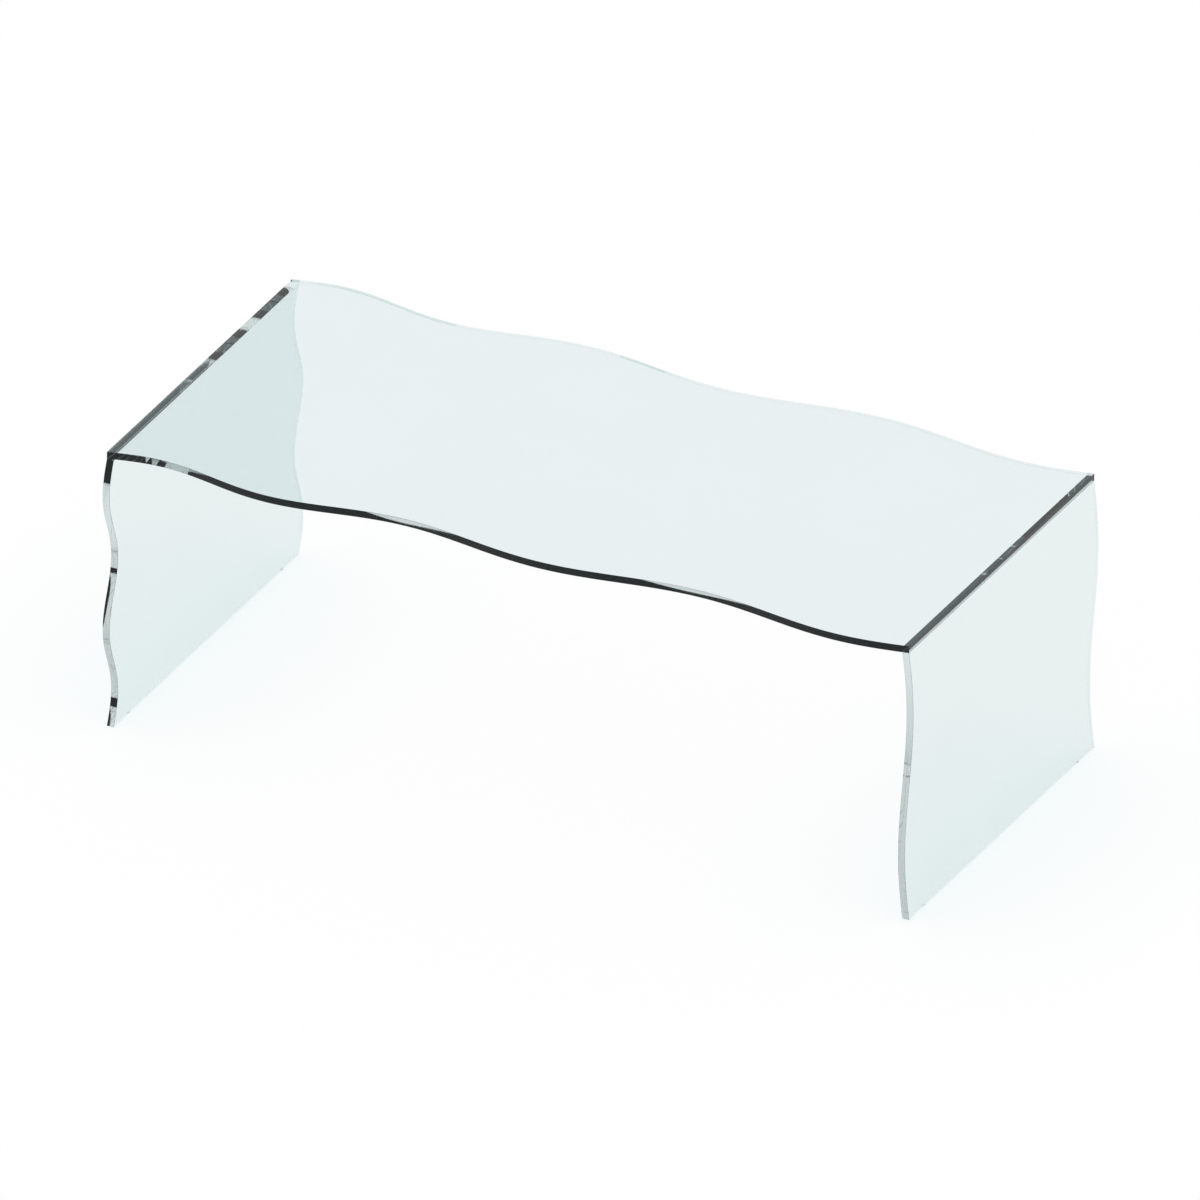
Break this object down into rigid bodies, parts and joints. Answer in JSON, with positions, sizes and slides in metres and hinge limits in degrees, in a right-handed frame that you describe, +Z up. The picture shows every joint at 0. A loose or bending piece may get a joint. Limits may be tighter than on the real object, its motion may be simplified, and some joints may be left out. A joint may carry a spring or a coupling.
{
  "type": "waterfall coffee table",
  "caption": "Low clear glass coffee table in waterfall form: a wavy-edged top bonded onto the upper edges of full-depth glass end panels that stand on clear floor pads.",
  "frame": {"origin": "on the floor, under the middle of the top", "axes": "+X along the length from the end panel with more waves to the one with fewer, +Y to the back, +Z up"},
  "size_m": [1.15, 0.5454, 0.399],
  "materials": {
    "clear_glass": "clear float glass with a faint blue-green tint, polished edges",
    "cured_adhesive": "thin film of clear cured adhesive between two glass faces",
    "clear_pad": "soft clear polymer"
  },
  "bodies": {
    "root": {"top_panel": "clear_glass", "left_end_panel": "clear_glass", "right_end_panel": "clear_glass", "left_joint_bond": "cured_adhesive", "right_joint_bond": "cured_adhesive", "front_left_floor_pad": "clear_pad", "back_left_floor_pad": "clear_pad", "front_right_floor_pad": "clear_pad", "back_right_floor_pad": "clear_pad"}
  },
  "joints": []
}
